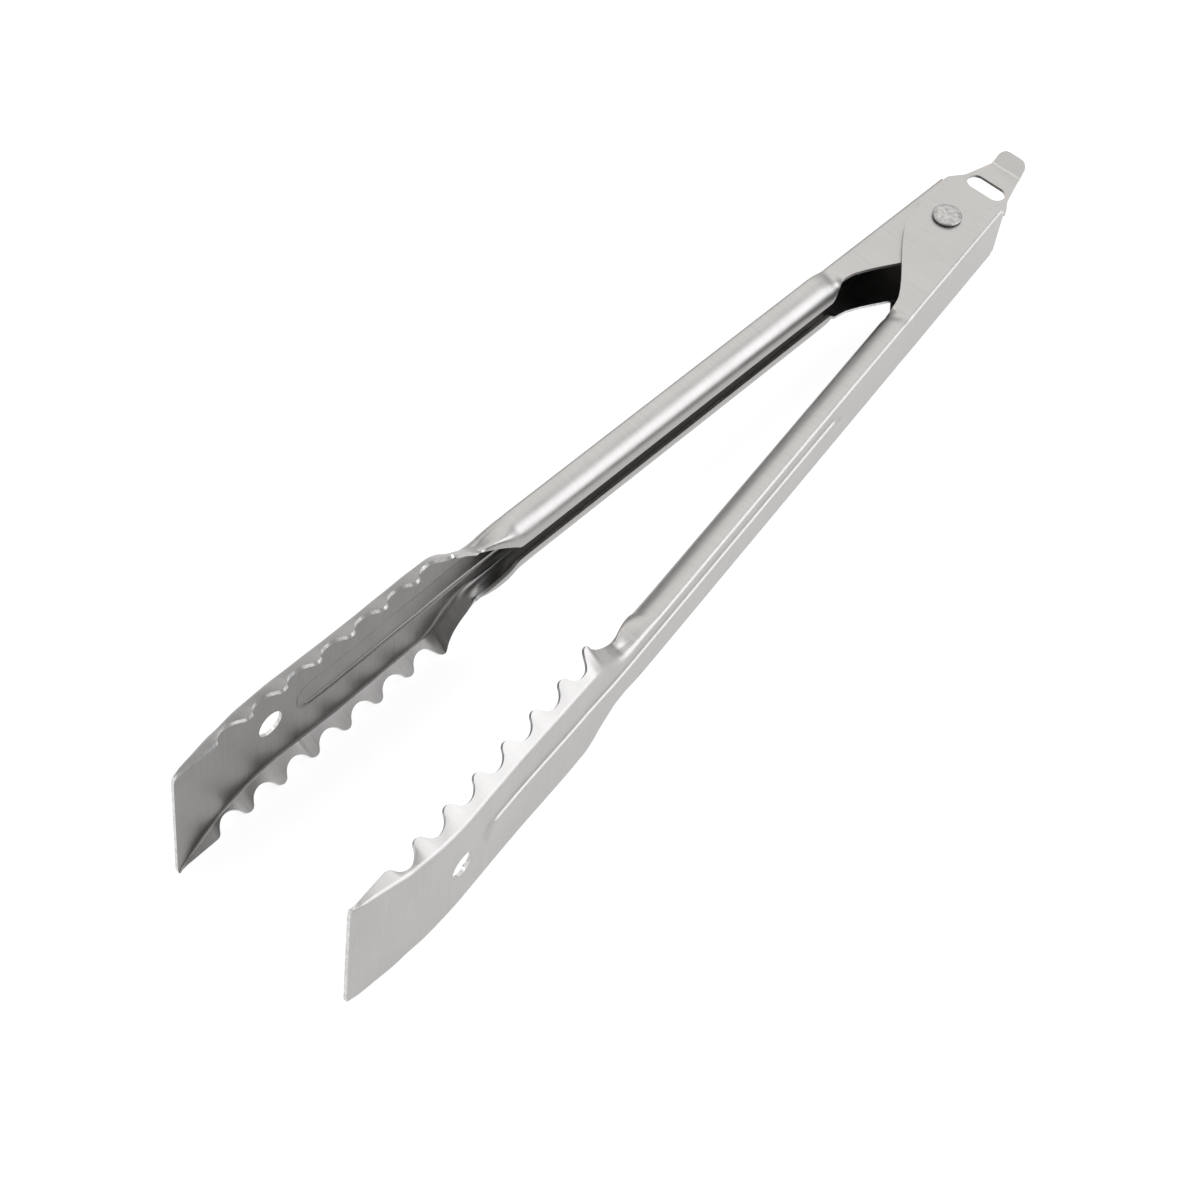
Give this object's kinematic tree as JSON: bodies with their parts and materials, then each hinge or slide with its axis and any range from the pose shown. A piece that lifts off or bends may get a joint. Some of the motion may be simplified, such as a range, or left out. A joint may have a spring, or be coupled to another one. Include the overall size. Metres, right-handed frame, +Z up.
{
  "type": "kitchen tongs",
  "caption": "Spring-loaded steel kitchen tongs with scalloped jaws, rolled channel handles and a sliding lock tab with a hanging slot.",
  "frame": {"origin": "centre of the bounding box in plan, at the level of the lowest jaw teeth, with the tongs lying open on their side", "axes": "+X from the jaws towards the lock tab, +Y from the outer arm towards the inner arm, +Z up along the rivet"},
  "size_m": [0.3048, 0.058, 0.0394],
  "materials": {
    "arm_steel": "fine brushed stainless sheet with bright sheared edges",
    "rivet_steel": "peened, slightly hammered head",
    "spring_steel": "drawn wire, satin",
    "plate_steel": "brushed stainless sheet"
  },
  "bodies": {
    "outer_arm": {"outer_arm": "arm_steel", "pivot_rivet": "rivet_steel", "spacer_sleeve": "spring_steel", "torsion_spring": "spring_steel"},
    "inner_arm": {"inner_arm": "arm_steel"},
    "lock_plate": {"lock_plate": "plate_steel"}
  },
  "joints": [
    {"name": "arm_pivot", "type": "hinge", "parent": "outer_arm", "child": "inner_arm", "pos_m": [0.1197, 0, 0.0198], "axis": [0, 0, 1], "range_deg": [0, 10.2], "stiffness_Nm_per_rad": 1.6, "springref_deg": -10.89, "deforming": ["torsion_spring"]},
    {"name": "lock_slide", "type": "slide", "parent": "inner_arm", "child": "lock_plate", "axis": [0.999, -0.0436, 0], "range_m": [0, 0.008]}
  ]
}
